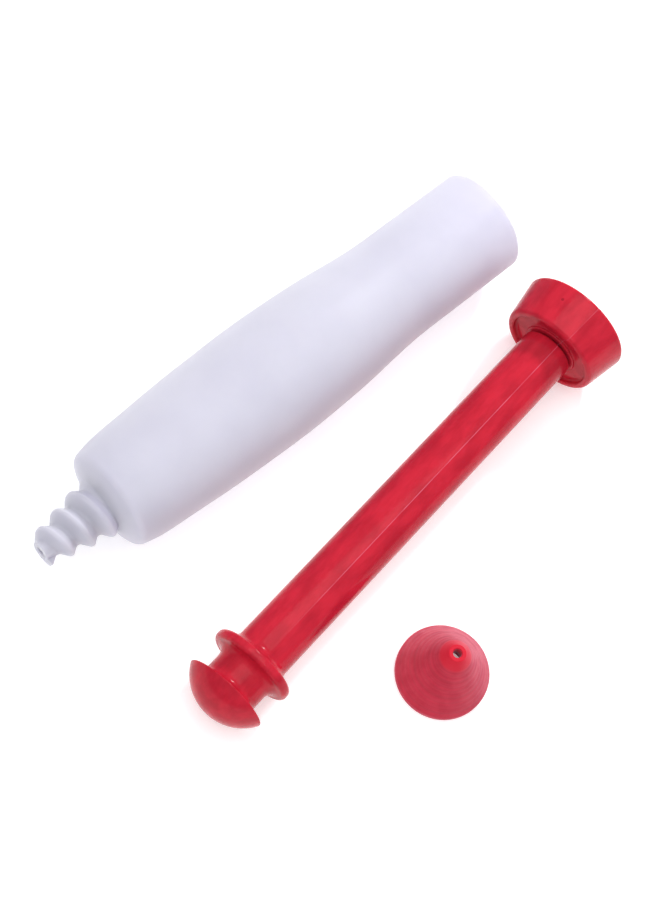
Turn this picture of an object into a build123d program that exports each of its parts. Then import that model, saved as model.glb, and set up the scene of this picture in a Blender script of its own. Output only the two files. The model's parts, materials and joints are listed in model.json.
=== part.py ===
from build123d import *
import math
import os

os.makedirs("parts", exist_ok=True)

# All lengths are in millimetres. The set lies on a table at z = 0, in the way it is laid out for filling.
# Each piece is turned about its own axis in its own frame first, and is then laid in its place.

# Squeeze tube: soft silicone body, open at the mouth, with a threaded neck at the other end.
# Its own frame has the shoulder at z = 0, the mouth at z = TUBE_LENGTH and the neck below zero.
TUBE_LENGTH = 138.2
TUBE_WALL = 1.5
SHOULDER_RADIUS = 14.6
SHOULDER_ROUND = 2.4
SHOULDER_SIDE_RADIUS = 15.3
SHOULDER_SIDE_HEIGHT = 3.2
BELLY_RADIUS = 18.13
BELLY_HEIGHT = 55.3
GRIP_RADIUS = 15.5
GRIP_HEIGHT = 106.0
RIM_ROUND = 0.5
# Outline between the shoulder and the belly, and between the belly and the grip, as pairs of
# (share of the height between them, share of the step in radius).
BELLY_RISE_SHARES = ((0.22, 0.41), (0.48, 0.72), (0.74, 0.90))
BELLY_FALL_SHARES = ((0.27, 0.12), (0.54, 0.42), (0.80, 0.88))

# Threaded neck of the tube, a cone with one coarse rounded thread.
NECK_LENGTH = 22.7
NECK_DROP = 2.8
NECK_TIP_RADIUS = 2.7
NECK_ROOT_RADIUS = 6.9
NECK_ROUND = 1.0
NECK_WALL = 1.2
THREAD_PITCH = 6.0
THREAD_HEIGHT = 1.95
THREAD_FOOT_WIDTH = 5.0
THREAD_CREST_WIDTH = 1.0
THREAD_SINK = 0.4
THREAD_TIP_RADIUS = 4.6
LEAD_SLOPE = 0.5
THREAD_START_ANGLE = 90.0

# Plunger: one moulding of domed head, neck, flange and long tapered stem, from the pole of the dome up.
HEAD_GAP = 1.6
FLANGE_GAP = 1.6
DOME_HEIGHT = 7.3
DOME_EDGE = 0.35
HEAD_NECK_RADIUS = 8.2
HEAD_NECK_LENGTH = 8.8
HEAD_NECK_ROUND = 2.4
FLANGE_FLARE_ROUND = 2.8
FLANGE_THICKNESS = 3.0
FLANGE_ROUND = 1.2
STEM_FOOT_RADIUS = 7.95
STEM_END_RADIUS = 7.8
STEM_END_ROUND = 0.8
STEM_FOOT_ROUND = 3.0
SPIGOT_RADIUS = 6.0
SPIGOT_LENGTH = 6.0
HEAD_REACH = 1.4
STOPPER_STANDOFF = 2.0

# Thumb stopper pressed on the end of the stem: a thick tapered cap, its underside sunk in a little
# inside a lip, with a boss round the stem's spigot.
STOPPER_STRETCH = 0.6
STOPPER_FLARE = 2.1
STOPPER_HEIGHT = 12.7
STOPPER_LIP = 2.0
STOPPER_FOOT_ROUND = 1.2
STOPPER_EDGE_ROUND = 0.8
RECESS_DEPTH = 1.4
RECESS_ROUND = 0.6
BOSS_RADIUS = 8.3
BOSS_SET_BACK = 0.6

# Nozzle: ringed cone on a short straight skirt, with a small outlet tube at its tip.
NOZZLE_RADIUS = 13.0
NOZZLE_HEIGHT = 22.0
SKIRT_HEIGHT = 2.0
OUTLET_ROOT_RADIUS = 4.2
OUTLET_TIP_RADIUS = 2.3
OUTLET_LENGTH = 2.6
OUTLET_BORE_RADIUS = 1.2
RING_COUNT = 9
RING_DEPTH = 0.08
NOZZLE_STANDOFF = 6.5
THREAD_CLEARANCE = 0.3
NOZZLE_ROOF = 1.9

# Where the pieces lie: the plunger's pole and the nozzle's axis, from the tube's shoulder, and the
# plunger's turn away from the tube.
PLUNGER_BACK = 14.9
PLUNGER_ASIDE = 59.05
PLUNGER_TURN = 7.05
NOZZLE_AHEAD = 44.35
NOZZLE_ASIDE = 90.0
OVERRUN = 3.0
TILT_STEPS = 200

# Sizes that follow from the ones above.
bore_radius = GRIP_RADIUS - TUBE_WALL
dome_radius = bore_radius - HEAD_GAP
flange_radius = bore_radius - FLANGE_GAP
neck_cone_length = NECK_LENGTH - NECK_DROP
neck_slope = (NECK_ROOT_RADIUS - NECK_TIP_RADIUS) / neck_cone_length
plunger_reach = TUBE_LENGTH + HEAD_REACH + STOPPER_STANDOFF
flange_start = DOME_HEIGHT + HEAD_NECK_LENGTH
stem_start = flange_start + FLANGE_THICKNESS
boss_start = plunger_reach + BOSS_SET_BACK
stopper_small_radius = bore_radius + STOPPER_STRETCH
stopper_large_radius = stopper_small_radius + STOPPER_FLARE


def turned(outline):
    """A solid of revolution about Z from a closed outline drawn in the XZ plane."""
    return revolve(make_face(outline), Axis.Z)


def between_shares(start, end, shares):
    """Outline points between two (radius, height) points, from shares of their steps."""
    points = []
    for height_share, radius_share in shares:
        radius = start[0] + radius_share * (end[0] - start[0])
        height = start[1] + height_share * (end[1] - start[1])
        points.append((radius, height))
    return points


def body_curve(inset):
    """Side of the tube from the shoulder to the grip, moved in by inset."""
    side = (SHOULDER_SIDE_RADIUS - inset, SHOULDER_SIDE_HEIGHT)
    belly = (BELLY_RADIUS - inset, BELLY_HEIGHT)
    grip = (GRIP_RADIUS - inset, GRIP_HEIGHT)
    points = [side, *between_shares(side, belly, BELLY_RISE_SHARES), belly]
    points += [*between_shares(belly, grip, BELLY_FALL_SHARES), grip]
    start_slope = (SHOULDER_SIDE_RADIUS - SHOULDER_RADIUS, SHOULDER_SIDE_HEIGHT)
    end_slope = (0, TUBE_LENGTH - GRIP_HEIGHT)
    return Spline(*[(r, 0, z) for r, z in points],
                  tangents=((start_slope[0], 0, start_slope[1]), (end_slope[0], 0, end_slope[1])))


def tube_envelope(inset, neck_inset, overrun):
    """The tube's outer form, or its hollow where it is moved in by the walls and run out at both ends."""
    tip_height = -NECK_LENGTH - overrun
    tip_radius = NECK_TIP_RADIUS - neck_inset - neck_slope * overrun
    grip_radius = GRIP_RADIUS - inset
    side = (SHOULDER_SIDE_RADIUS - inset, 0, SHOULDER_SIDE_HEIGHT)
    base = FilletPolyline((tip_radius, 0, tip_height), (NECK_ROOT_RADIUS - neck_inset, 0, -NECK_DROP),
                          (SHOULDER_RADIUS - inset, 0, inset), side,
                          radius=[NECK_ROUND, SHOULDER_ROUND - inset])
    ends = Polyline((grip_radius, 0, GRIP_HEIGHT), (grip_radius, 0, TUBE_LENGTH + overrun),
                    (0, 0, TUBE_LENGTH + overrun), (0, 0, tip_height), (tip_radius, 0, tip_height))
    return turned(base.edges() + body_curve(inset).edges() + ends.edges())


def thread_ridge(growth):
    """Helical ridge that grows out of the neck's tip, grown all over for the groove that it runs in."""
    climb = neck_cone_length + THREAD_FOOT_WIDTH / 2
    foot = THREAD_FOOT_WIDTH / 2 + growth
    crest = THREAD_CREST_WIDTH / 2 + growth
    inner = NECK_TIP_RADIUS + growth - THREAD_SINK
    outer = NECK_TIP_RADIUS + THREAD_HEIGHT + growth
    corners = [(inner, -foot), (outer, -crest), (outer, crest), (inner, foot)]
    cone_angle = math.degrees(math.atan(neck_slope))
    lines = [Helix(THREAD_PITCH, climb, radius, center=(0, 0, height), cone_angle=cone_angle)
             for radius, height in corners]
    faces = []
    for line, next_line in zip(lines, lines[1:] + lines[:1]):
        faces.append(Face.make_surface_from_curves(line.edge(), next_line.edge()))
    for end in (0, 1):
        faces.append(make_face(Polyline(*[line.position_at(end) for line in lines], close=True)).face())
    ridge = Rot(Z=THREAD_START_ANGLE) * Pos(Z=-NECK_LENGTH) * Solid(Shell(faces))
    lead_length = NECK_LENGTH + growth
    lead_radius = THREAD_TIP_RADIUS + growth
    lead_in = Pos(Z=-lead_length) * Cone(lead_radius, lead_radius + LEAD_SLOPE * lead_length, lead_length,
                                         align=(Align.CENTER, Align.CENTER, Align.MIN))
    return ridge & lead_in


def squeeze_tube():
    """Thin soft tube with a slim grip, a swelling belly and a hollow threaded neck."""
    outer = tube_envelope(0, 0, 0)
    outer += thread_ridge(0)
    tube = outer - tube_envelope(TUBE_WALL, NECK_WALL, OVERRUN)
    rim = tube.edges().filter_by(GeomType.CIRCLE).filter_by_position(Axis.Z, TUBE_LENGTH, TUBE_LENGTH)
    return fillet(rim, RIM_ROUND)


def plunger_stem():
    """Domed head, neck, flange and long tapered stem in one turned piece, with a spigot on its end."""
    dome_centre = (dome_radius ** 2 + DOME_HEIGHT ** 2) / (2 * DOME_HEIGHT)
    dome_middle = DOME_HEIGHT / 2
    dome_middle_radius = math.sqrt(dome_centre ** 2 - (dome_centre - dome_middle) ** 2)
    spigot_end = boss_start + SPIGOT_LENGTH
    dome = ThreePointArc((0, 0, 0), (dome_middle_radius, 0, dome_middle), (dome_radius, 0, DOME_HEIGHT))
    side = FilletPolyline((dome_radius, 0, DOME_HEIGHT), (HEAD_NECK_RADIUS, 0, DOME_HEIGHT + DOME_EDGE),
                          (HEAD_NECK_RADIUS, 0, flange_start), (flange_radius, 0, flange_start),
                          (flange_radius, 0, stem_start), (STEM_FOOT_RADIUS, 0, stem_start),
                          (STEM_END_RADIUS, 0, plunger_reach), (SPIGOT_RADIUS, 0, plunger_reach),
                          (SPIGOT_RADIUS, 0, spigot_end), (0, 0, spigot_end),
                          radius=[HEAD_NECK_ROUND, FLANGE_FLARE_ROUND, FLANGE_ROUND, FLANGE_ROUND,
                                  STEM_FOOT_ROUND, STEM_END_ROUND, 0, 0])
    axis = Line((0, 0, spigot_end), (0, 0, 0))
    return turned(dome.edges() + side.edges() + axis.edges())


def thumb_stopper():
    """Tapered cap on the stem's spigot, its underside at the tube's rim when it is pushed home."""
    top = plunger_reach + STOPPER_HEIGHT
    cap = turned(FilletPolyline((0, 0, plunger_reach), (stopper_small_radius, 0, plunger_reach),
                                (stopper_large_radius, 0, top), (0, 0, top), close=True,
                                radius=[0, STOPPER_FOOT_ROUND, STOPPER_EDGE_ROUND, 0]).edges())
    recess_radius = stopper_small_radius - STOPPER_LIP
    recess_floor = plunger_reach + RECESS_DEPTH
    recess = turned(FilletPolyline((0, 0, plunger_reach - OVERRUN), (recess_radius, 0, plunger_reach - OVERRUN),
                                   (recess_radius, 0, recess_floor), (0, 0, recess_floor), close=True,
                                   radius=[0, 0, RECESS_ROUND, 0]).edges())
    boss = Pos(Z=boss_start) * Cylinder(BOSS_RADIUS, SPIGOT_LENGTH,
                                        align=(Align.CENTER, Align.CENTER, Align.MIN))
    socket = Pos(Z=boss_start) * Cylinder(SPIGOT_RADIUS, SPIGOT_LENGTH,
                                          align=(Align.CENTER, Align.CENTER, Align.MIN))
    return cap - recess + boss - socket


def nozzle_outline():
    """Skirt, ringed cone and outlet tube of the nozzle, from the table up."""
    cone_top = NOZZLE_HEIGHT - OUTLET_LENGTH
    points = [(0, 0, 0), (NOZZLE_RADIUS, 0, 0), (NOZZLE_RADIUS, 0, SKIRT_HEIGHT)]
    ring_height = (cone_top - SKIRT_HEIGHT) / RING_COUNT
    ring_step = (NOZZLE_RADIUS - OUTLET_ROOT_RADIUS) / RING_COUNT
    for ring in range(1, RING_COUNT):
        radius = NOZZLE_RADIUS - ring * ring_step
        height = SKIRT_HEIGHT + ring * ring_height
        points.append((radius + RING_DEPTH, 0, height))
        points.append((radius - RING_DEPTH, 0, height))
    points += [(OUTLET_ROOT_RADIUS, 0, cone_top), (OUTLET_TIP_RADIUS, 0, NOZZLE_HEIGHT), (0, 0, NOZZLE_HEIGHT)]
    return Polyline(*points, close=True)


def nozzle():
    """Nozzle that screws over the neck, with the neck's own thread cut inside it."""
    body = turned(nozzle_outline().edges())
    roof = NOZZLE_HEIGHT - OUTLET_LENGTH - NOZZLE_ROOF
    shoulder_height = -NOZZLE_STANDOFF
    growth = THREAD_CLEARANCE
    cone_height = NECK_LENGTH - NOZZLE_STANDOFF
    cavity = turned(Polyline((0, 0, -OVERRUN),
                             (NECK_TIP_RADIUS + growth + neck_slope * (cone_height + OVERRUN), 0, -OVERRUN),
                             (NECK_TIP_RADIUS + growth, 0, cone_height),
                             (OUTLET_BORE_RADIUS, 0, roof), (0, 0, roof), close=True).edges())
    groove = Pos(Z=shoulder_height) * Rot(X=180) * thread_ridge(growth)
    outlet = Cylinder(OUTLET_BORE_RADIUS, NOZZLE_HEIGHT + OVERRUN, align=(Align.CENTER, Align.CENTER, Align.MIN))
    return body - cavity - groove - outlet


def resting_tilt():
    """Angle at which the tube lies on its belly and on the rim of its mouth."""
    rim_height = TUBE_LENGTH - RIM_ROUND
    curve = body_curve(0)
    slopes = []
    for step in range(TILT_STEPS):
        point = curve.position_at(step / TILT_STEPS)
        slopes.append((point.X - GRIP_RADIUS) / (rim_height - point.Z))
    return math.degrees(math.atan(max(slopes)))


def lay_down(pieces, rise, turn, x, y):
    """Lay pieces drawn along Z on the table, with the axis at this rise and turn, from this point."""
    frame = Plane(origin=(0, 0, 0), x_dir=(0, 0, 1), z_dir=(1, 0, 0)).location
    laid = [Rot(Z=turn) * Rot(Y=-rise) * frame * piece for piece in pieces]
    lowest = min(piece.bounding_box().min.Z for piece in laid)
    return [Pos(x, y, -lowest) * piece for piece in laid]


tube_tilt = resting_tilt()
plunger_tilt = math.degrees(math.atan((stopper_large_radius - dome_radius)
                                      / (plunger_reach + STOPPER_HEIGHT - STOPPER_EDGE_ROUND - DOME_HEIGHT)))
tube_parts = lay_down([squeeze_tube()], -tube_tilt, 0, 0, 0)
plunger_parts = lay_down([plunger_stem(), thumb_stopper()], plunger_tilt, PLUNGER_TURN,
                         -PLUNGER_BACK, -PLUNGER_ASIDE)
nozzle_parts = [Pos(NOZZLE_AHEAD, -NOZZLE_ASIDE, 0) * nozzle()]

# The set's own frame has its origin on the table, under the middle of the whole set.
names = ["squeeze_tube", "plunger_stem", "thumb_stopper", "nozzle"]
pieces = tube_parts + plunger_parts + nozzle_parts
whole = Compound(pieces).bounding_box()
to_middle = Pos(-whole.center().X, -whole.center().Y, -whole.min.Z)
for name, piece in zip(names, pieces):
    placed = to_middle * piece
    export_step(placed, f"parts/{name}.step")
    print(name, len(placed.solids()), round(placed.volume, 2), placed.is_valid)
print("tube tilt", tube_tilt, "plunger rise", plunger_tilt)
print("middle of the set from the shoulder", whole.center())
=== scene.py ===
"""Looks of a silicone decorating pen that is laid out for filling: tube, plunger and nozzle."""

import json
import math

import bpy
import numpy as np
from mathutils import Matrix, Vector


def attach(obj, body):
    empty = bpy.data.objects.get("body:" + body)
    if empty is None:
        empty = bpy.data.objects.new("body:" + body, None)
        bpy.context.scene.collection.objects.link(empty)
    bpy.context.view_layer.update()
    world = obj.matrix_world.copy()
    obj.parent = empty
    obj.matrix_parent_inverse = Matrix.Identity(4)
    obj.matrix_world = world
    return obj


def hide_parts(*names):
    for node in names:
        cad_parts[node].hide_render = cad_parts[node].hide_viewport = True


bl_info = {
    "name": "Silicone decorating pen",
    "version": (1, 0, 0),
    "blender": (4, 5, 0),
    "location": "View3D > Sidebar > Decorating Pen",
    "description": "Builds a squeeze tube with a plunger and a screw-on nozzle, and the table they lie on",
    "category": "Object",
}

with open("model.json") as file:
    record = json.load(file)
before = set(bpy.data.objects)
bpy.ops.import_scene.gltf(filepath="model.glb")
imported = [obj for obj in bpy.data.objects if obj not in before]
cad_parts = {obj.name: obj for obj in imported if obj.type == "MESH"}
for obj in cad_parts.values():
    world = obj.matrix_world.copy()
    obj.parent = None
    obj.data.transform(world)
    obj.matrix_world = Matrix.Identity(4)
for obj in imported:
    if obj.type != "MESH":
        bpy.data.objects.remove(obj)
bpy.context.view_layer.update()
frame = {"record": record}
MOUNTS = {mount["name"]: mount for mount in frame["record"]["mounts"]}

MM = 0.001
FULL_TURN = 2 * math.pi
UP = Vector((0, 0, 1))
OWN_PLACE = "own_place"
VIEW_MIDDLE = Vector((4.43, 19.885, 0)) * MM

# Steps round each turned piece. More steps make a rounder piece and a finer thread.
TUBE_STEPS = 240
PLUNGER_STEPS = 320
NOZZLE_STEPS = 192

# Points on the long curves of each outline.
BODY_POINTS = 90
HOLLOW_POINTS = 60
DOME_POINTS = 40
PLUNGER_ROUND_POINTS = 10
POINTS_PER_RING = 12

# Longest step along the parts of an outline that carry a thread or a parting line.
NECK_STEP = 0.22 * MM
STEM_STEP = 4 * MM
STOPPER_STEP = 1 * MM
SOCKET_STEP = 0.35 * MM

# How far inside its edge the nozzle's outline starts on the base.
SKIRT_START = 1 * MM

# Shape of the tube between the shoulder, the belly and the grip, as pairs of a share of the height
# and a share of the step in radius.
BELLY_RISE_SHARES = ((0.22, 0.41), (0.48, 0.72), (0.74, 0.90))
BELLY_FALL_SHARES = ((0.27, 0.12), (0.54, 0.42), (0.80, 0.88))

# Rounding of the thread's corners, as a share of its flank.
THREAD_SOFTNESS = 0.09

# Length of the short flat that keeps a rounded corner crisp where it leaves the straight.
CRISP_STEP = 0.08 * MM

# Values that are the same all over each finish.
SILICONE_FINISH = {
    "Subsurface Weight": 1.0,
    "Subsurface Radius": (1.0, 0.95, 0.95),
    "Subsurface Scale": 3.5 * MM,
    "IOR": 1.41,
    "Specular IOR Level": 0.35,
}
GLOSSY_FINISH = {
    "Subsurface Weight": 0.15,
    "Subsurface Radius": (1.0, 0.12, 0.1),
    "Subsurface Scale": 2.0 * MM,
    "IOR": 1.3,
    "Specular IOR Level": 0.1,
    "Coat Weight": 0.2,
    "Coat Roughness": 0.11,
    "Coat IOR": 1.5,
}
MATTE_FINISH = {
    "Subsurface Weight": 0.2,
    "Subsurface Radius": (1.0, 0.15, 0.12),
    "Subsurface Scale": 2.0 * MM,
    "IOR": 1.3,
    "Sheen Weight": 0.25,
    "Sheen Roughness": 0.4,
    "Sheen Tint": (1.0, 0.6, 0.85, 1),
}
TABLE_FINISH = {
    "Roughness": 0.9,
    "Specular IOR Level": 0.1,
}

# Least and most roughness of each finish.
SILICONE_ROUGHNESS = (0.38, 0.5)
GLOSSY_ROUGHNESS = (0.16, 0.24)
MATTE_ROUGHNESS = (0.5, 0.62)
WORN_ROUGHNESS = 0.2

# Fineness of each grain: more is finer.
CLOUDS = 55
SILICONE_STREAKS = 190
SILICONE_SKIN = 2600
PLUNGER_MOTTLING = 260
PLUNGER_SPECKS = 1500
PLUNGER_FLOW = 900
SEAM_HIGHLIGHT_BREAKS = 130
NOZZLE_RINGS = 900
NOZZLE_MOTTLING = 260
NOZZLE_SKIN = 3200
NOZZLE_TURNING = 5200
TABLE_SHADE = 30

# Layers of ever finer detail in a grain, and how strongly each layer shows in the next.
PLAIN_DETAIL = 2
RICH_DETAIL = 3
GRAIN_ROUGHNESS = 0.55

# How each grain is drawn out along a piece's own axes. Less draws it out more, and 0 makes it even.
DRAWN_STREAKS = (1, 1, 0.2)
DRAWN_MOTTLING = (1, 1, 0.4)
DRAWN_FLOW = (1, 1, 0.02)
RINGS_ONLY = (0, 0, 1)

# Depth of each grain in the surface, and how strongly it shows.
STREAK_BUMP = (0.05 * MM, 0.35)
SKIN_BUMP = (0.02 * MM, 0.5)
FLOW_BUMP = (0.01 * MM, 0.4)
SPECK_BUMP = (0.01 * MM, 0.4)
TURNING_BUMP = (0.03 * MM, 0.5)

# How much each of two grains counts in a red's tone.
MOTTLING_WEIGHT = 0.65
FLOW_WEIGHT = 0.35
RING_WEIGHT = 0.6
NOZZLE_MOTTLING_WEIGHT = 0.4

# Least and most that the painted highlight along the parting line shows.
STEM_SEAM_HIGHLIGHT = (0.35, 0.95)
STOPPER_SEAM_HIGHLIGHT = (0.1, 0.4)

# How far the parting line's painted highlight reaches to each side, as a share of its width.
SEAM_EDGE = 0.7

# Radius of the gate mark's dark middle and of its edge, and how dark it is.
GATE_MIDDLE = 0.25 * MM
GATE_EDGE = 0.6 * MM
GATE_SHARE = 0.7

# The neck's painted shade, a darker tone for the shade that falls on it, is full at this many times the
# shoulder's drop, and starts at the drop.
NECK_SHADE_DROPS = 3

# The mouth's rim takes the same painted shade, a darker tone for its shaded edge, over this length and by
# this share.
RIM_SHADE_LENGTH = 1.6 * MM
RIM_SHADE_SHARE = 0.8

# The outlet's painted light, a brighter and clearer red, comes in from this far below its root to this far
# above.
OUTLET_TONE_BELOW = 1 * MM
OUTLET_TONE_ABOVE = 0.3 * MM

# Height, as a share of straight up, from which the surroundings are at their brightest.
SKY_HEIGHT = 0.8

# Brightness of the table top's darker patches, as a share of its own.
TABLE_SHADE_SHARE = 0.985

# Nearest and farthest that the camera sees, in metres, and the width of its sensor in millimetres.
CAMERA_NEAR = 0.01
CAMERA_FAR = 10
SENSOR_WIDTH = 36


def length(name, description, default):
    """A length property, shown in the scene's unit."""
    return bpy.props.FloatProperty(name=name, description=description, default=default, min=0,
                                   precision=5, subtype="DISTANCE", unit="LENGTH")


def angle(name, description, degrees):
    """An angle property, given in degrees."""
    return bpy.props.FloatProperty(name=name, description=description,
                                   default=math.radians(degrees), subtype="ANGLE", unit="ROTATION")


def factor(name, description, default):
    """A plain share from 0 to 1."""
    return bpy.props.FloatProperty(name=name, description=description, default=default,
                                   min=0, max=1, subtype="FACTOR")


def brightness(name, description, default):
    """Strength of a light that has no place."""
    return bpy.props.FloatProperty(name=name, description=description, default=default, min=0)


def power(name, description, default):
    """Power of a lamp."""
    return bpy.props.FloatProperty(name=name, description=description, default=default,
                                   min=0, unit="POWER")


def offset(name, description, default):
    """Distance along each of the three axes."""
    return bpy.props.FloatVectorProperty(name=name, description=description, default=default,
                                         size=3, subtype="TRANSLATION", unit="LENGTH")


def colour(name, description, default):
    """A colour property in linear light."""
    return bpy.props.FloatVectorProperty(name=name, description=description, default=default,
                                         size=3, min=0, max=1, subtype="COLOR")


class TubeSettings(bpy.types.PropertyGroup):
    """Sizes and colours of the squeeze tube."""

    tube_length: length("Length", "From the shoulder to the rim of the mouth", 138.2 * MM)
    wall: length("Wall", "Thickness of the silicone", 1.5 * MM)
    grip_radius: length("Grip radius", "Outer radius of the straight grip", 15.5 * MM)
    grip_height: length("Grip height", "Where the straight grip starts", 106.0 * MM)
    belly_radius: length("Belly radius", "Outer radius where the tube swells most", 18.13 * MM)
    belly_height: length("Belly height", "Where the tube swells most", 55.3 * MM)
    side_radius: length("Side radius", "Outer radius just above the shoulder", 15.3 * MM)
    side_height: length("Side height", "Where the body's curve starts", 3.2 * MM)
    shoulder_radius: length("Shoulder radius", "Outer radius at the shoulder's corner", 14.6 * MM)
    shoulder_round: length("Shoulder round", "Rounding of the shoulder's corner", 2.4 * MM)
    rim_round: length("Rim round", "Rounding of the mouth's rim", 0.4 * MM)
    neck_length: length("Neck length", "From the shoulder to the tip", 22.7 * MM)
    neck_drop: length("Neck drop", "How far the shoulder slopes down to the neck", 2.8 * MM)
    neck_root_radius: length("Neck root radius", "Radius of the neck's cone at its root", 6.9 * MM)
    neck_tip_radius: length("Neck tip radius", "Radius of the neck's cone at its tip", 2.7 * MM)
    neck_round: length("Neck round", "Rounding between the shoulder and the neck", 1.0 * MM)
    neck_wall: length("Neck wall", "Thickness of the neck under the thread", 1.2 * MM)
    thread_pitch: length("Thread pitch", "Rise of the thread in one turn", 6.0 * MM)
    thread_height: length("Thread height", "How far the thread stands off the neck", 1.95 * MM)
    thread_foot: length("Thread foot", "Width of the thread where it leaves the neck", 5.0 * MM)
    thread_crest: length("Thread crest", "Width of the thread's flat crest", 1.0 * MM)
    thread_tip_radius: length("Thread tip radius", "Radius that the thread starts with", 4.6 * MM)
    thread_lead: factor("Thread lead", "Slope by which the thread grows from the tip", 0.5)
    thread_start: angle("Thread start", "Where the thread starts, from straight up", 90)
    colour: colour("Silicone colour", "Milky colour of the silicone", (0.62, 0.61, 0.715))
    cloud_colour: colour("Cloud colour", "Faint clouds in the silicone", (0.59, 0.58, 0.685))
    # Painted shade: a darker colour laid on the threaded neck and the mouth's rim where the tube lies in
    # shade.
    neck_shade_colour: colour("Neck colour", "Painted shade on the threaded neck and the mouth's rim",
                        (0.535, 0.53, 0.61))


class PlungerSettings(bpy.types.PropertyGroup):
    """Sizes and colours of the plunger and its thumb stopper."""

    dome_radius: length("Dome radius", "Radius of the domed head", 12.4 * MM)
    dome_height: length("Dome height", "Height of the domed head", 7.3 * MM)
    dome_edge: length("Dome edge", "Rounding of the dome's edge", 0.35 * MM)
    neck_radius: length("Neck radius", "Radius of the waist behind the dome", 8.2 * MM)
    neck_length: length("Neck length", "Length of the waist behind the dome", 8.8 * MM)
    neck_round: length("Neck round", "Rounding between the dome and the waist", 2.4 * MM)
    flare_round: length("Flare round", "Rounding by which the waist flares into the flange", 2.8 * MM)
    flange_radius: length("Flange radius", "Radius of the guide flange", 12.4 * MM)
    flange_thickness: length("Flange thickness", "Thickness of the guide flange", 3.0 * MM)
    flange_round: length("Flange round", "Rounding of the flange's two edges", 1.2 * MM)
    stem_foot_radius: length("Stem foot radius", "Radius of the stem at the flange", 7.95 * MM)
    stem_end_radius: length("Stem end radius", "Radius of the stem at the stopper", 7.8 * MM)
    stem_foot_round: length("Stem foot round", "Rounding between the flange and the stem", 3.0 * MM)
    stem_end_round: length("Stem end round", "Rounding of the stem's end", 0.8 * MM)
    reach: length("Reach", "From the pole of the dome to the stopper", 141.6 * MM)
    spigot_radius: length("Spigot radius", "Radius of the spigot inside the stopper", 6.0 * MM)
    spigot_length: length("Spigot length", "Length of the spigot inside the stopper", 6.0 * MM)
    stopper_small_radius: length("Stopper small radius", "Radius of the stopper's underside", 14.6 * MM)
    stopper_large_radius: length("Stopper large radius", "Radius of the stopper's thumb side", 16.7 * MM)
    stopper_height: length("Stopper height", "Height of the stopper", 12.7 * MM)
    stopper_round: length("Stopper round", "Rounding of the stopper's thumb edge", 0.8 * MM)
    foot_round: length("Foot round", "Rounding of the stopper's lower edge", 1.2 * MM)
    lip: length("Lip", "Width of the lip round the stopper's underside", 2.0 * MM)
    lip_round: length("Lip round", "Rounding of the lip's inner edge", 0.5 * MM)
    recess_depth: length("Recess depth", "How far the stopper's underside is sunk in", 1.4 * MM)
    recess_round: length("Recess round", "Rounding at the bottom of the sunk underside", 0.6 * MM)
    boss_radius: length("Boss radius", "Radius of the boss under the stopper", 8.3 * MM)
    boss_round: length("Boss round", "Rounding of the boss's edge", 0.35 * MM)
    boss_back: length("Boss set back", "How far the boss stands back from the lip", 0.6 * MM)
    seam_start: length("Seam start", "Where the parting line begins to show, from the dome", 24 * MM)
    seam_fade: length("Seam fade", "Length over which the parting line comes in", 30 * MM)
    seam_height: length("Seam height", "How far the parting line stands proud", 0.05 * MM)
    seam_width: length("Seam width", "Width of the parting line", 0.3 * MM)
    nick_depth: length("Nick depth", "Depth of the nick where the seam meets the thumb edge", 0.35 * MM)
    parting_turn: angle("Parting turn", "Where the mould's parting line runs, from straight up", 12.5)
    gate_turn: angle("Gate turn", "Where the gate mark is, from straight up", -20.5)
    gate_height: length("Gate height", "Where the gate mark is, from the underside", 7.8 * MM)
    colour: colour("Plunger colour", "Glossy red of the plunger", (0.60, 0.019, 0.042))
    deep_colour: colour("Deep colour", "Darker red of the plunger's mottling", (0.41, 0.010, 0.026))
    # Painted highlight: pale red laid along the raised parting line.
    seam_highlight_colour: colour("Seam colour", "Painted highlight along the parting line", (0.64, 0.12, 0.19))
    gate_colour: colour("Gate colour", "Dark red of the gate mark", (0.22, 0.004, 0.014))


class NozzleSettings(bpy.types.PropertyGroup):
    """Sizes and colours of the nozzle."""

    base_radius: length("Base radius", "Radius of the straight skirt", 13.0 * MM)
    height: length("Height", "Height of the whole nozzle", 22.0 * MM)
    skirt_height: length("Skirt height", "Height of the straight skirt", 2.0 * MM)
    ring_count: bpy.props.IntProperty(name="Rings", description="Turned rings up the cone",
                                      default=9, min=0)
    ring_depth: length("Ring depth", "Depth of each turned ring", 0.015 * MM)
    outlet_root_radius: length("Outlet root radius", "Radius of the outlet at its root", 4.2 * MM)
    outlet_tip_radius: length("Outlet tip radius", "Radius of the outlet at its tip", 2.3 * MM)
    outlet_length: length("Outlet length", "Length of the outlet", 2.6 * MM)
    bore_radius: length("Bore radius", "Radius of the hole in the outlet", 1.2 * MM)
    edge_round: length("Edge round", "Rounding of the nozzle's edges", 0.3 * MM)
    standoff: length("Standoff", "Gap to the shoulder when it is screwed home", 6.5 * MM)
    clearance: length("Clearance", "Room round the thread", 0.3 * MM)
    roof: length("Roof", "Thickness above the threaded hollow", 1.9 * MM)
    colour: colour("Nozzle colour", "Matte red of the nozzle", (0.58, 0.016, 0.050))
    deep_colour: colour("Deep colour", "Darker red between the rings", (0.42, 0.011, 0.034))
    # Painted light: the outlet's brighter, clearer red stands in for how the light falls on it.
    outlet_light_colour: colour("Outlet colour", "Painted light: brighter, clearer red of the outlet", (0.62, 0.008, 0.03))


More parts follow.
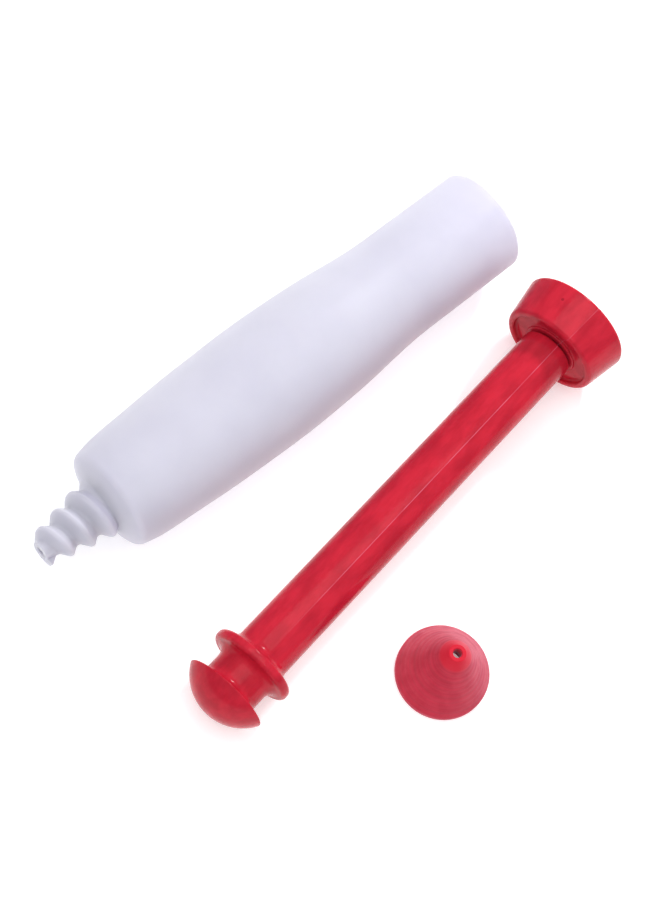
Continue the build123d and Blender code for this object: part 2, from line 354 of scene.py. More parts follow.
class StageSettings(bpy.types.PropertyGroup):
    """The table, the light and the camera."""

    floor_size: length("Floor size", "Width of the table top", 8.0)
    floor_colour: colour("Floor colour", "Colour of the table top", (0.9, 0.9, 0.905))
    floor_glow: brightness("Floor glow", "Light that the table top gives off, like a light table", 0.38)
    sky_strength: brightness("Sky strength", "Light from straight above, all round", 0.72)
    rim_strength: brightness("Rim strength", "Light from all round at table height", 0.35)
    top_power: power("Top light", "Power of the large soft light above", 3.5)
    top_size: length("Top light size", "Width of the large soft light above", 0.8)
    top_offset: offset("Top light place", "From the middle of the view to the large soft light",
                       (-0.1, -0.04, 0.85))
    side_power: power("Side light", "Power of the small light beside the mouth", 3.0)
    side_size: length("Side light size", "Width of the small light beside the mouth", 0.085)
    side_offset: offset("Side light place", "From the middle of the view to the small light",
                        (0.62, 0.13, 0.52))
    camera_distance: length("Camera distance", "From the camera to the middle of the view", 603.4 * MM)
    camera_azimuth: angle("Camera azimuth", "Where the camera stands round the pen", 296.07)
    camera_elevation: angle("Camera elevation", "How high the camera stands", 68.33)
    camera_roll: angle("Camera roll", "Turn of the picture about its middle", 24.0)
    camera_lens: bpy.props.FloatProperty(name="Lens", description="Focal length on a 36 mm wide sensor",
                                         default=86.2, min=1, subtype="DISTANCE_CAMERA")


def smooth_step(values):
    """Eases 0 to 1 without a corner at either end."""
    share = np.clip(values, 0, 1)
    return share * share * (3 - 2 * share)


def soft_clip(values, softness):
    """Holds values to 0 to 1 with a small rounding at both ends."""
    above_zero = np.sqrt(values ** 2 + softness ** 2)
    below_one = np.sqrt((values - 1) ** 2 + softness ** 2)
    return (above_zero - below_one + 1) / 2


def rounded(corners, rounds, steps=7):
    """Outline through these corners, each rounded by its radius and kept crisp where it leaves."""
    corners = [np.array(corner, float) for corner in corners]
    outline = [corners[0]]
    for before, corner, after, radius in zip(corners, corners[1:], corners[2:], rounds):
        if radius == 0:
            outline.append(corner)
            continue
        back = (before - corner) / np.linalg.norm(before - corner)
        ahead = (after - corner) / np.linalg.norm(after - corner)
        half = math.acos(float(np.clip(back @ ahead, -1, 1))) / 2
        reach = radius / math.tan(half)
        start = corner + back * reach
        end = corner + ahead * reach
        centre = corner + (back + ahead) / np.linalg.norm(back + ahead) * radius / math.sin(half)
        outline.append(start + back * CRISP_STEP)
        for share in np.linspace(0, 1, steps):
            point = start * (1 - share) + end * share - centre
            outline.append(centre + point / np.linalg.norm(point) * radius)
        outline.append(end + ahead * CRISP_STEP)
    outline.append(corners[-1])
    return outline


def divided(outline, step):
    """The same outline with its long runs cut into steps of this length."""
    points = [outline[0]]
    for before, after in zip(outline, outline[1:]):
        run = np.linalg.norm(np.subtract(after, before))
        count = max(1, math.ceil(run / step))
        for index in range(1, count + 1):
            points.append(np.array(before) + (np.array(after) - before) * index / count)
    return points


def arc(start, through, end, steps):
    """Circular arc through three outline points."""
    start, through, end = (np.array(point, float) for point in (start, through, end))
    rows = np.array([through - start, end - start])
    centre = np.linalg.solve(2 * rows, [through @ through - start @ start, end @ end - start @ start])
    radius = np.linalg.norm(start - centre)
    first, middle, last = (math.atan2(*(point - centre)[::-1]) for point in (start, through, end))
    middle = first + (middle - first + math.pi) % FULL_TURN - math.pi
    last = middle + (last - middle + math.pi) % FULL_TURN - math.pi
    turns = np.linspace(first, last, steps)
    return [centre + radius * np.array([math.cos(turn), math.sin(turn)]) for turn in turns]


def swell(points, start_slope, end_slope, steps):
    """Smooth curve of radius by height through these points, with these slopes at its ends."""
    radii, heights = np.array(points).T
    gaps = np.diff(heights)
    rises = np.diff(radii) / gaps
    count = len(points)
    rows = np.eye(count)
    sides = np.zeros(count)
    sides[0], sides[-1] = start_slope, end_slope
    for index in range(1, count - 1):
        before, after = gaps[index - 1], gaps[index]
        rows[index, index - 1:index + 2] = after, 2 * (before + after), before
        sides[index] = 3 * (after * rises[index - 1] + before * rises[index])
    slopes = np.linalg.solve(rows, sides)
    outline = []
    for height in np.linspace(heights[0], heights[-1], steps):
        index = min(int(np.searchsorted(heights, height, side="right")) - 1, count - 2)
        share = (height - heights[index]) / gaps[index]
        start, end = radii[index], radii[index + 1]
        start_pull, end_pull = slopes[index] * gaps[index], slopes[index + 1] * gaps[index]
        radius = (start + share * start_pull
                  + share ** 2 * (3 * (end - start) - 2 * start_pull - end_pull)
                  + share ** 3 * (2 * (start - end) + start_pull + end_pull))
        outline.append(np.array([radius, height]))
    return outline


def keep_own_place(mesh):
    """Notes where each point is in the piece's own frame, for the materials."""
    places = np.empty(3 * len(mesh.vertices), np.float32)
    mesh.vertices.foreach_get("co", places)
    own = mesh.attributes.new(OWN_PLACE, "FLOAT_VECTOR", "POINT")
    own.data.foreach_set("vector", places)


def turned(name, outline, steps, relief=None):
    """Turned piece about its own Z from an outline of radius and height, raised by its relief.

    The outline runs from pole to pole, or comes back to where it began.
    """
    outline = np.array(outline, float)
    turns = np.arange(steps) * FULL_TURN / steps
    radii = np.repeat(outline[:, :1], steps, axis=1)
    if relief is not None:
        radii = radii + relief
    points = np.stack([radii * np.cos(turns), radii * np.sin(turns),
                       np.repeat(outline[:, 1:], steps, axis=1)], axis=2)
    poled = outline[0, 0] == 0
    rings = points[1:-1] if poled else points
    vertices = [tuple(point) for ring in rings for point in ring]
    faces = []
    count = len(rings)
    for row in range(count - 1 if poled else count):
        first, second = row * steps, (row + 1) % count * steps
        for step in range(steps):
            after = (step + 1) % steps
            faces.append((first + step, first + after, second + after, second + step))
    if poled:
        vertices += [(0, 0, outline[0, 1]), (0, 0, outline[-1, 1])]
        last = (count - 1) * steps
        for step in range(steps):
            after = (step + 1) % steps
            faces.append((count * steps, after, step))
            faces.append((count * steps + 1, last + step, last + after))
    mesh = bpy.data.meshes.new(name)
    mesh.from_pydata(vertices, [], faces)
    mesh.validate()
    mesh.shade_smooth()
    keep_own_place(mesh)
    piece = bpy.data.objects.new(name, mesh)
    bpy.context.scene.collection.objects.link(piece)
    return piece


def lay(piece, origin, axis):
    """Lays a piece with its own Z along this axis and its own X as near to straight up as it can be."""
    along = Vector(axis).normalized()
    above = (UP - along * UP.dot(along)).normalized()
    beside = along.cross(above)
    turn = Matrix((above, beside, along)).transposed().to_4x4()
    piece.data.transform(Matrix.Translation(origin) @ turn)


def thread_relief(settings, climbs, turns, growth=0.0):
    """How far the rounded thread stands off the neck, by the climb from the tip and by the angle."""
    phase = ((turns - settings.thread_start) / FULL_TURN)[None, :]
    climb = climbs[:, None]
    pitch = settings.thread_pitch
    turn_count = np.maximum(np.round(climb / pitch - phase), -np.floor(phase))
    away = np.abs(climb - (turn_count + phase) * pitch)
    foot = settings.thread_foot / 2 + growth
    crest = settings.thread_crest / 2 + growth
    rise = (foot - away) / (foot - crest)
    return settings.thread_height * soft_clip(rise, THREAD_SOFTNESS)


def new_material(name):
    """Empty node material with its shader."""
    material = bpy.data.materials.new(name)
    material.use_nodes = True
    shader = material.node_tree.nodes["Principled BSDF"]
    return material, shader


def add(material, kind, inputs=None, **values):
    """Adds a node, sets its values, and links or sets its inputs."""
    node = material.node_tree.nodes.new(kind)
    for name, value in values.items():
        setattr(node, name, value)
    for name, value in (inputs or {}).items():
        if isinstance(value, bpy.types.NodeSocket):
            material.node_tree.links.new(value, node.inputs[name])
        else:
            node.inputs[name].default_value = value
    return node


def set_finish(shader, finish):
    """Sets the values that are the same all over on the shader's own sockets."""
    for name, value in finish.items():
        shader.inputs[name].default_value = value


def own_place(material):
    """Place of a surface point in the piece's own frame."""
    return add(material, "ShaderNodeAttribute", attribute_name=OWN_PLACE).outputs["Vector"]


def grain(material, place, scale, detail=PLAIN_DETAIL, stretch=(1, 1, 1)):
    """Noise of this fineness, from 0 to 1, which may be drawn out along an axis."""
    mapping = add(material, "ShaderNodeMapping", {"Vector": place, "Scale": stretch})
    noise = add(material, "ShaderNodeTexNoise",
                {"Vector": mapping.outputs[0], "Scale": scale, "Detail": detail,
                 "Roughness": GRAIN_ROUGHNESS})
    return noise.outputs["Fac"]


def spread(material, value, low, high, start=0.3, end=0.7):
    """Spreads a value between start and end over low to high."""
    return add(material, "ShaderNodeMapRange",
               {"Value": value, "From Min": start, "From Max": end, "To Min": low, "To Max": high},
               interpolation_type="SMOOTHSTEP").outputs[0]


def calc(material, operation, *values):
    """One step of arithmetic on shader values."""
    node = add(material, "ShaderNodeMath", operation=operation)
    for index, value in enumerate(values):
        if isinstance(value, bpy.types.NodeSocket):
            material.node_tree.links.new(value, node.inputs[index])
        else:
            node.inputs[index].default_value = value
    return node.outputs[0]


def mixed(material, share, first, second):
    """Blends two colours by a share."""
    node = add(material, "ShaderNodeMix", data_type="RGBA")
    for name, value in (("Factor", share), ("A", first), ("B", second)):
        sockets = [socket for socket in node.inputs if socket.name == name and socket.enabled]
        if isinstance(value, bpy.types.NodeSocket):
            material.node_tree.links.new(value, sockets[0])
        else:
            sockets[0].default_value = value
    return next(socket for socket in node.outputs if socket.enabled)


def raised(material, height, distance, strength=1.0, below=None):
    """Bump of this depth, laid over another bump."""
    inputs = {"Height": height, "Distance": distance, "Strength": strength}
    if below is not None:
        inputs["Normal"] = below
    return add(material, "ShaderNodeBump", inputs).outputs[0]


def silicone(settings):
    """Milky soft silicone: faint clouds, light that sinks in, painted shade on the neck and the mouth's
    rim, and a satin skin with a fine grain.
    """
    material, shader = new_material("milky_silicone")
    place = own_place(material)
    links = material.node_tree.links
    clouds = spread(material, grain(material, place, CLOUDS, RICH_DETAIL), 0, 1)
    streaks = grain(material, place, SILICONE_STREAKS, stretch=DRAWN_STREAKS)
    skin = grain(material, place, SILICONE_SKIN)
    milky = mixed(material, clouds, (*settings.colour, 1), (*settings.cloud_colour, 1))
    # Painted shade: the neck and the mouth's rim are darkened with the neck's shade colour, standing in
    # for shade and not for a real tone of the silicone.
    height = add(material, "ShaderNodeSeparateXYZ", {0: place}).outputs["Z"]
    on_neck = spread(material, height, 1, 0,
                     -NECK_SHADE_DROPS * settings.neck_drop, -settings.neck_drop)
    on_rim = spread(material, height, 0, RIM_SHADE_SHARE,
                    settings.tube_length - RIM_SHADE_LENGTH, settings.tube_length)
    painted_shade_share = calc(material, "MAXIMUM", on_neck, on_rim)
    tone = mixed(material, painted_shade_share, milky, (*settings.neck_shade_colour, 1))
    links.new(tone, shader.inputs["Base Color"])
    links.new(spread(material, streaks, *SILICONE_ROUGHNESS), shader.inputs["Roughness"])
    bump = raised(material, streaks, *STREAK_BUMP)
    links.new(raised(material, skin, *SKIN_BUMP, bump), shader.inputs["Normal"])
    set_finish(shader, SILICONE_FINISH)
    return material


def seam_share(material, place, settings):
    """1 on the thin line where the mould's halves met, on both sides, and 0 near the plunger's head."""
    turn = settings.parting_turn
    across = add(material, "ShaderNodeVectorMath", {0: place, 1: (-math.sin(turn), math.cos(turn), 0)},
                 operation="DOT_PRODUCT")
    along = add(material, "ShaderNodeSeparateXYZ", {0: place}).outputs["Z"]
    away = calc(material, "ABSOLUTE", across.outputs["Value"])
    line = spread(material, away, 1, 0, 0, settings.seam_width * SEAM_EDGE)
    fade_end = settings.seam_start + settings.seam_fade
    fade = spread(material, along, 0, 1, settings.seam_start, fade_end)
    return calc(material, "MULTIPLY", line, fade)


def blended(material, first, first_weight, second, second_weight):
    """Sum of two grains, each by its weight."""
    return calc(material, "ADD", calc(material, "MULTIPLY", first, first_weight),
                calc(material, "MULTIPLY", second, second_weight))


def glossy_plastic(settings, name, gate=None):
    """Glossy moulded plastic: mottled colour, flow streaks, a painted highlight along the parting line,
    which also roughens it, and a gate mark.
    """
    material, shader = new_material(name)
    place = own_place(material)
    links = material.node_tree.links
    patches = grain(material, place, PLUNGER_MOTTLING, RICH_DETAIL, DRAWN_MOTTLING)
    mottling = spread(material, patches, 0, 1)
    specks = grain(material, place, PLUNGER_SPECKS, RICH_DETAIL)
    flow = grain(material, place, PLUNGER_FLOW, stretch=DRAWN_FLOW)
    tone = blended(material, mottling, MOTTLING_WEIGHT, flow, FLOW_WEIGHT)
    red = mixed(material, tone, (*settings.colour, 1), (*settings.deep_colour, 1))
    # Painted highlight: a pale red line along the real raised parting line, broken up by a grain; the same
    # share also roughens the line.
    least, most = STEM_SEAM_HIGHLIGHT if gate is None else STOPPER_SEAM_HIGHLIGHT
    highlight_breaks = spread(material, grain(material, place, SEAM_HIGHLIGHT_BREAKS), least, most)
    seam_highlight = calc(material, "MULTIPLY", seam_share(material, place, settings), highlight_breaks)
    red = mixed(material, seam_highlight, red, (*settings.seam_highlight_colour, 1))
    if gate is not None:
        spot = add(material, "ShaderNodeVectorMath", {0: place, 1: gate}, operation="DISTANCE")
        mark = spread(material, spot.outputs["Value"], GATE_SHARE, 0, GATE_MIDDLE, GATE_EDGE)
        red = mixed(material, mark, red, (*settings.gate_colour, 1))
    links.new(red, shader.inputs["Base Color"])
    smooth = spread(material, mottling, *GLOSSY_ROUGHNESS, 0, 1)
    rough = calc(material, "ADD", smooth, calc(material, "MULTIPLY", seam_highlight, WORN_ROUGHNESS))
    links.new(rough, shader.inputs["Roughness"])
    bump = raised(material, flow, *FLOW_BUMP)
    links.new(raised(material, specks, *SPECK_BUMP, bump), shader.inputs["Normal"])
    set_finish(shader, GLOSSY_FINISH)
    return material


def matte_plastic(settings):
    """Matte moulded plastic whose turned rings differ a little in tone, with painted light that makes the
    outlet a brighter, clearer red.
    """
    material, shader = new_material("matte_red_plastic")
    place = own_place(material)
    links = material.node_tree.links
    rings = spread(material, grain(material, place, NOZZLE_RINGS, stretch=RINGS_ONLY), 0, 1)
    mottling = spread(material, grain(material, place, NOZZLE_MOTTLING, RICH_DETAIL), 0, 1)
    skin = grain(material, place, NOZZLE_SKIN)
    turning = grain(material, place, NOZZLE_TURNING, stretch=RINGS_ONLY)
    tone = blended(material, rings, RING_WEIGHT, mottling, NOZZLE_MOTTLING_WEIGHT)
    red = mixed(material, tone, (*settings.colour, 1), (*settings.deep_colour, 1))
    # Painted light: the outlet is painted a brighter, clearer red than the cone, standing in for how the
    # light falls on it.
    height = add(material, "ShaderNodeSeparateXYZ", {0: place}).outputs["Z"]
    cone_top = settings.height - settings.outlet_length
    on_outlet = spread(material, height, 0, 1, cone_top - OUTLET_TONE_BELOW, cone_top + OUTLET_TONE_ABOVE)
    red = mixed(material, on_outlet, red, (*settings.outlet_light_colour, 1))
    links.new(red, shader.inputs["Base Color"])
    links.new(spread(material, mottling, *MATTE_ROUGHNESS, 0, 1), shader.inputs["Roughness"])
    bump = raised(material, turning, *TURNING_BUMP)
    links.new(raised(material, skin, *SKIN_BUMP, bump), shader.inputs["Normal"])
    set_finish(shader, MATTE_FINISH)
    return material


def pale_floor(settings):
    """Plain pale table top with the faintest unevenness."""
    material, shader = new_material("pale_table_top")
    place = add(material, "ShaderNodeTexCoord").outputs["Object"]
    shade = spread(material, grain(material, place, TABLE_SHADE), 0, 1)
    darker = [TABLE_SHADE_SHARE * share for share in settings.floor_colour]
    tone = mixed(material, shade, (*settings.floor_colour, 1), (*darker, 1))
    material.node_tree.links.new(tone, shader.inputs["Base Color"])
    shader.inputs["Emission Color"].default_value = (*settings.floor_colour, 1)
    shader.inputs["Emission Strength"].default_value = settings.floor_glow
    set_finish(shader, TABLE_FINISH)
    return material


def body_shape(settings, inset):
    """Radius and height of the body's outline points, moved in by inset."""
    s = settings
    side = (s.side_radius - inset, s.side_height)
    belly = (s.belly_radius - inset, s.belly_height)
    grip = (s.grip_radius - inset, s.grip_height)
    points = [side]
    for start, end, shares in ((side, belly, BELLY_RISE_SHARES), (belly, grip, BELLY_FALL_SHARES)):
        for height_share, radius_share in (*shares, (1, 1)):
            points.append((start[0] + radius_share * (end[0] - start[0]),
                           start[1] + height_share * (end[1] - start[1])))
    return points


def tube_outline(settings):
    """Outer side from the tip to the mouth, and back down the hollow; and how many points are neck."""
    s = settings
    drop = -s.neck_drop
    tip = -s.neck_length
    neck = divided(rounded([(s.neck_tip_radius, tip), (s.neck_root_radius, drop),
                            (s.shoulder_radius, 0), (s.side_radius, s.side_height)],
                           [s.neck_round, s.shoulder_round]), NECK_STEP)
    lean = (s.side_radius - s.shoulder_radius) / s.side_height
    body = swell(body_shape(s, 0), lean, 0, BODY_POINTS)
    grip_inner = s.grip_radius - s.wall
    rim = rounded([(s.grip_radius, s.grip_height), (s.grip_radius, s.tube_length),
                   (grip_inner, s.tube_length), (grip_inner, s.grip_height)], [s.rim_round, s.rim_round])
    hollow = swell(body_shape(s, s.wall), lean, 0, HOLLOW_POINTS)[::-1]
    passage = rounded([(s.side_radius - s.wall, s.side_height), (s.shoulder_radius - s.wall, s.wall),
                       (s.neck_root_radius - s.neck_wall, drop), (s.neck_tip_radius - s.neck_wall, tip)],
                      [s.shoulder_round - s.wall, s.neck_round])
    tip_face = [(s.neck_tip_radius - s.neck_wall / 2, tip)]
    outline = [*neck, *body[1:], *rim[1:-1], *hollow, *passage[1:], *tip_face]
    return outline, len(neck)


def neck_relief(settings, outline, neck_count):
    """How far the thread stands off the tube, growing from the tip and ending at the shoulder."""
    s = settings
    radii, heights = np.array(outline).T
    climbs = heights + s.neck_length
    turns = np.arange(TUBE_STEPS) * FULL_TURN / TUBE_STEPS
    relief = thread_relief(s, climbs, turns)
    lead = s.thread_tip_radius + s.thread_lead * climbs - radii
    relief = np.minimum(relief, np.maximum(lead, 0)[:, None])
    cone_slope = (s.neck_root_radius - s.neck_tip_radius) / (s.neck_length - s.neck_drop)
    off_cone = radii - (s.neck_tip_radius + cone_slope * climbs)
    relief = np.maximum(relief - np.maximum(off_cone, 0)[:, None], 0)
    relief[neck_count:] = 0
    return relief


class PEN_OT_tube(bpy.types.Operator):
    """Build the squeeze tube with its threaded neck"""

    bl_idname = "decorating_pen.tube"
    bl_label = "Squeeze Tube"

    def execute(self, context):
        settings = context.scene.pen_tube
        outline, neck_count = tube_outline(settings)
        relief = neck_relief(settings, outline, neck_count)
        tube = turned("silicone_tube", outline, TUBE_STEPS, relief)
        tube.data.materials.append(silicone(settings))
        tip = MOUNTS["tip_thread"]
        axis = -Vector(tip["axis"])
        lay(tube, Vector(tip["pos_m"]) + axis * settings.neck_length, axis)
        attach(tube, "tube")
        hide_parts("squeeze_tube")
        return {"FINISHED"}


def seam_relief(settings, outline):
    """How far the mould's parting line stands off a piece of the plunger, on both sides of it."""
    turns = np.arange(PLUNGER_STEPS) * FULL_TURN / PLUNGER_STEPS
    radii, heights = np.array(outline).T
    away = radii[:, None] * np.abs(np.sin(turns - settings.parting_turn))
    strength = smooth_step((heights - settings.seam_start) / settings.seam_fade) * (radii > 0)
    return settings.seam_height * strength[:, None] * np.exp(-(2 * away / settings.seam_width) ** 2)


def plunger_place(settings):
    """Pole of the plunger's dome, and the plunger's axis."""
    face = MOUNTS["stopper_face"]
    axis = Vector(face["axis"])
    return Vector(face["pos_m"]) - axis * (settings.reach + settings.stopper_height), axis


def plunger_outline(settings):
    """From the pole of the dome over the waist, the flange and the stem to the spigot's end."""
    s = settings
    ball_radius = (s.dome_radius ** 2 + s.dome_height ** 2) / (2 * s.dome_height)
    half_height = s.dome_height / 2
    half_radius = math.sqrt(ball_radius ** 2 - (ball_radius - half_height) ** 2)
    flange_start = s.dome_height + s.neck_length
    stem_start = flange_start + s.flange_thickness
    spigot_end = s.reach + s.boss_back + s.spigot_length
    rim = (s.dome_radius, s.dome_height)
    dome = arc((0, 0), (half_radius, half_height), rim, DOME_POINTS)
    side = rounded([dome[-2], rim, (s.neck_radius, s.dome_height + s.dome_edge),
                    (s.neck_radius, flange_start), (s.flange_radius, flange_start),
                    (s.flange_radius, stem_start), (s.stem_foot_radius, stem_start),
                    (s.stem_end_radius, s.reach), (s.spigot_radius, s.reach),
                    (s.spigot_radius, spigot_end), (0, spigot_end)],
                   [s.dome_edge / 2, s.neck_round, s.flare_round, s.flange_round, s.flange_round,
                    s.stem_foot_round, s.stem_end_round, 0, 0], PLUNGER_ROUND_POINTS)
    # The pole is written out, because the arc starts a hair off the axis.
    return divided([(0, 0), *dome[1:-1], *side[1:-1]], STEM_STEP) + [side[-1]]


class PEN_OT_plunger(bpy.types.Operator):
    """Build the plunger: domed head, flange and long stem"""

    bl_idname = "decorating_pen.plunger"
    bl_label = "Plunger Stem"

    def execute(self, context):
        settings = context.scene.pen_plunger
        outline = plunger_outline(settings)
        plunger = turned("plunger_moulding", outline, PLUNGER_STEPS, seam_relief(settings, outline))
        plunger.data.materials.append(glossy_plastic(settings, "glossy_red_plastic"))
        lay(plunger, *plunger_place(settings))
        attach(plunger, "plunger")
        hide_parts("plunger_stem")
        return {"FINISHED"}


def stopper_outline(settings):
    """From the socket's end over the boss, the sunk underside and the lip to the thumb side."""
    s = settings
    top = s.reach + s.stopper_height
    boss_start = s.reach + s.boss_back
    socket_end = boss_start + s.spigot_length
    recess_floor = s.reach + s.recess_depth
    recess_radius = s.stopper_small_radius - s.lip
    outline = rounded([(0, socket_end), (s.spigot_radius, socket_end), (s.spigot_radius, boss_start),
                       (s.boss_radius, boss_start), (s.boss_radius, recess_floor),
                       (recess_radius, recess_floor), (recess_radius, s.reach),
                       (s.stopper_small_radius, s.reach), (s.stopper_large_radius, top), (0, top)],
                      [0, s.boss_round, s.boss_round, s.boss_round, s.recess_round, s.lip_round,
                       s.foot_round, s.stopper_round])
    return divided(outline[:-1], STOPPER_STEP) + [outline[-1]]


def stopper_seam(settings, outline):
    """The parting line on the stopper's outside only, with a nick where it meets the thumb edge."""
    s = settings
    seam = seam_relief(s, outline)
    radii, heights = np.array(outline).T
    seam[radii < s.stopper_small_radius - s.foot_round] = 0
    edge_height = s.reach + s.stopper_height - s.stopper_round
    at_edge = (heights > edge_height) & (radii > s.stopper_large_radius - s.stopper_round)
    seam[at_edge] *= -s.nick_depth / s.seam_height
    return seam


def gate_place(settings):
    """Middle of the gate mark on the stopper's side."""
    s = settings
    flare = s.stopper_large_radius - s.stopper_small_radius
    radius = s.stopper_small_radius + flare * s.gate_height / s.stopper_height
    return radius * math.cos(s.gate_turn), radius * math.sin(s.gate_turn), s.reach + s.gate_height


class PEN_OT_stopper(bpy.types.Operator):
    """Build the thumb stopper on the end of the stem"""

    bl_idname = "decorating_pen.stopper"
    bl_label = "Thumb Stopper"

    def execute(self, context):
        settings = context.scene.pen_plunger
        outline = stopper_outline(settings)
        seam = stopper_seam(settings, outline)
        stopper = turned("thumb_stopper_cap", outline, PLUNGER_STEPS, seam)
        gate = gate_place(settings)
        stopper.data.materials.append(glossy_plastic(settings, "glossy_red_plastic_stopper", gate))
        lay(stopper, *plunger_place(settings))
        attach(stopper, "plunger")
        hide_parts("thumb_stopper")
        return {"FINISHED"}


def nozzle_shape(settings, tube):
    """Outline up the ringed cone and back down the hollow, and the groove that fits the tube's thread."""
    s = settings
    cone_top = s.height - s.outlet_length
    outline = rounded([(s.base_radius - SKIRT_START, 0), (s.base_radius, 0),
                       (s.base_radius, s.skirt_height)], [s.edge_round])
    for share in np.linspace(0, 1, POINTS_PER_RING * s.ring_count + 1)[1:]:
        height = s.skirt_height + share * (cone_top - s.skirt_height)
        radius = s.base_radius + share * (s.outlet_root_radius - s.base_radius)
        wave = s.ring_depth * math.sin(FULL_TURN * share * s.ring_count)
        outline.append(np.array([radius + wave, height]))
    outline += rounded([outline[-1], (s.outlet_tip_radius, s.height), (s.bore_radius, s.height),
                        (s.bore_radius, cone_top)], [s.edge_round, s.edge_round])[1:]
    tip = tube.neck_length - s.standoff
    tip_radius = tube.neck_tip_radius + s.clearance
    slope = (tube.neck_root_radius - tube.neck_tip_radius) / (tube.neck_length - tube.neck_drop)
    socket = divided([(tip_radius, tip), (tip_radius + slope * tip, 0)], SOCKET_STEP)
    outline += [(s.bore_radius, cone_top - s.roof), *socket]
    climbs = tip - np.array(outline)[:, 1]
    turns = np.arange(NOZZLE_STEPS) * FULL_TURN / NOZZLE_STEPS
    relief = thread_relief(tube, climbs, -turns, s.clearance)
    relief[:len(outline) - len(socket)] = 0
    return outline, relief


class PEN_OT_nozzle(bpy.types.Operator):
    """Build the ringed nozzle with its threaded hollow"""

    bl_idname = "decorating_pen.nozzle"
    bl_label = "Nozzle"

    def execute(self, context):
        settings = context.scene.pen_nozzle
        outline, relief = nozzle_shape(settings, context.scene.pen_tube)
        nozzle = turned("nozzle_moulding", outline, NOZZLE_STEPS, relief)
        nozzle.data.materials.append(matte_plastic(settings))
        place = Vector(MOUNTS["nozzle_outlet"]["pos_m"])
        place.z = 0
        nozzle.data.transform(Matrix.Translation(place))
        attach(nozzle, "nozzle")
        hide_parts("nozzle")
        return {"FINISHED"}


def studio(settings):
    """Plain white surroundings that are brightest above and dim at table height."""
    world = bpy.data.worlds.new("studio")
    world.use_nodes = True
    nodes = world.node_tree.nodes
    links = world.node_tree.links
    way = nodes.new("ShaderNodeTexCoord")
    parts = nodes.new("ShaderNodeSeparateXYZ")
    rise = nodes.new("ShaderNodeMapRange")
    rise.interpolation_type = "SMOOTHSTEP"
    rise.inputs["From Max"].default_value = SKY_HEIGHT
    rise.inputs["To Min"].default_value = settings.rim_strength
    rise.inputs["To Max"].default_value = settings.sky_strength
    links.new(way.outputs["Generated"], parts.inputs[0])
    links.new(parts.outputs["Z"], rise.inputs["Value"])
    nodes["Background"].inputs["Color"].default_value = (1, 1, 1, 1)
    links.new(rise.outputs[0], nodes["Background"].inputs["Strength"])
    return world


def soft_light(name, stand_off, size, strength):
    """Square soft light that stands off the middle of the view and faces it."""
    data = bpy.data.lights.new(name, "AREA")
    data.shape = "SQUARE"
    data.size = size
    data.energy = strength
    light = bpy.data.objects.new(name, data)
    light.location = VIEW_MIDDLE + Vector(stand_off)
    light.rotation_euler = (-Vector(stand_off)).to_track_quat("-Z", "Y").to_euler()
    bpy.context.scene.collection.objects.link(light)


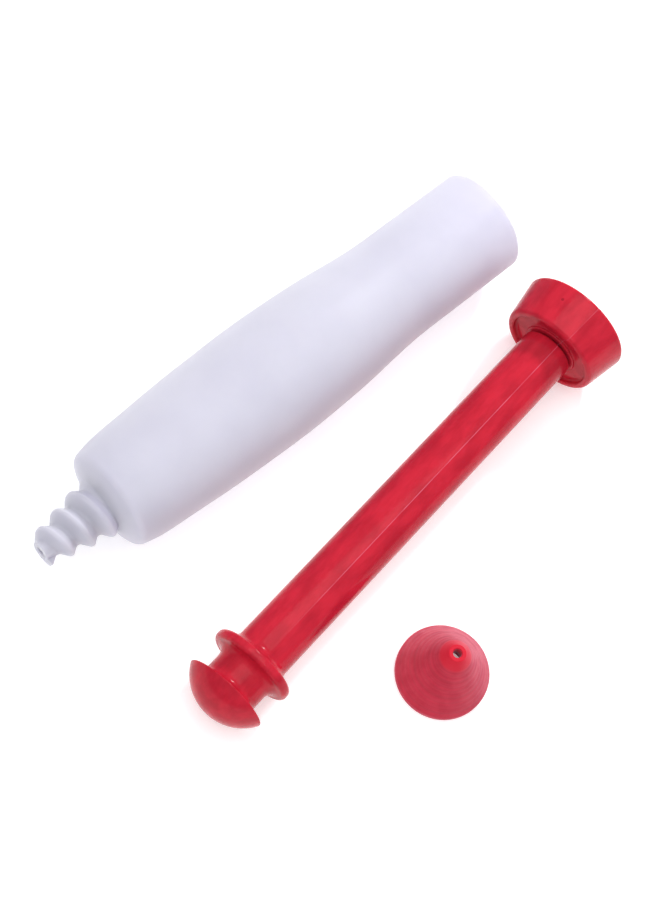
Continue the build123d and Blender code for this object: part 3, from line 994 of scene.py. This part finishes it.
class PEN_OT_stage(bpy.types.Operator):
    """Build the table top, the lights and the camera"""

    bl_idname = "decorating_pen.stage"
    bl_label = "Stage"

    def execute(self, context):
        settings = context.scene.pen_stage
        scene = context.scene
        half = settings.floor_size / 2
        mesh = bpy.data.meshes.new("table_top")
        mesh.from_pydata([(-half, -half, 0), (half, -half, 0), (half, half, 0), (-half, half, 0)],
                         [], [(0, 1, 2, 3)])
        floor = bpy.data.objects.new("table_top", mesh)
        scene.collection.objects.link(floor)
        mesh.materials.append(pale_floor(settings))

        scene.world = studio(settings)
        soft_light("top_light", settings.top_offset, settings.top_size, settings.top_power)
        soft_light("side_light", settings.side_offset, settings.side_size, settings.side_power)

        level = math.cos(settings.camera_elevation)
        back = Vector((math.sin(settings.camera_azimuth) * level,
                       -math.cos(settings.camera_azimuth) * level,
                       math.sin(settings.camera_elevation)))
        data = bpy.data.cameras.new("camera")
        data.sensor_fit = "AUTO"
        data.sensor_width = SENSOR_WIDTH
        data.lens = settings.camera_lens
        data.clip_start = CAMERA_NEAR
        data.clip_end = CAMERA_FAR
        camera = bpy.data.objects.new("camera", data)
        scene.collection.objects.link(camera)
        facing = (-back).to_track_quat("-Z", "Y").to_matrix().to_4x4()
        camera.matrix_world = (Matrix.Translation(VIEW_MIDDLE + back * settings.camera_distance)
                               @ facing @ Matrix.Rotation(settings.camera_roll, 4, "Z"))
        scene.camera = camera
        scene.view_settings.view_transform = "Standard"
        return {"FINISHED"}


class PEN_PT_panel(bpy.types.Panel):
    """Sidebar panel with the pen's pieces and sizes"""

    bl_label = "Decorating Pen"
    bl_idname = "PEN_PT_panel"
    bl_space_type = "VIEW_3D"
    bl_region_type = "UI"
    bl_category = "Decorating Pen"

    def draw(self, context):
        for group, operators in PANEL_ROWS:
            box = self.layout.box()
            for operator in operators:
                box.operator(operator.bl_idname)
            settings = getattr(context.scene, group)
            for name in settings.__annotations__:
                box.prop(settings, name)


GROUPS = {"pen_tube": TubeSettings, "pen_plunger": PlungerSettings, "pen_nozzle": NozzleSettings,
          "pen_stage": StageSettings}
OPERATORS = (PEN_OT_tube, PEN_OT_plunger, PEN_OT_stopper, PEN_OT_nozzle, PEN_OT_stage)
PANEL_ROWS = (("pen_tube", (PEN_OT_tube,)), ("pen_plunger", (PEN_OT_plunger, PEN_OT_stopper)),
              ("pen_nozzle", (PEN_OT_nozzle,)), ("pen_stage", (PEN_OT_stage,)))


def register():
    """Registers the settings, operators and panel."""
    for group, settings in GROUPS.items():
        bpy.utils.register_class(settings)
        setattr(bpy.types.Scene, group, bpy.props.PointerProperty(type=settings))
    for operator in OPERATORS:
        bpy.utils.register_class(operator)
    bpy.utils.register_class(PEN_PT_panel)


def unregister():
    """Removes what register added."""
    bpy.utils.unregister_class(PEN_PT_panel)
    for operator in reversed(OPERATORS):
        bpy.utils.unregister_class(operator)
    for group, settings in GROUPS.items():
        delattr(bpy.types.Scene, group)
        bpy.utils.unregister_class(settings)


def main():
    """Builds every piece and the stage."""
    register()
    bpy.ops.decorating_pen.tube()
    bpy.ops.decorating_pen.plunger()
    bpy.ops.decorating_pen.stopper()
    bpy.ops.decorating_pen.nozzle()
    bpy.ops.decorating_pen.stage()


if __name__ == "__main__":
    main()
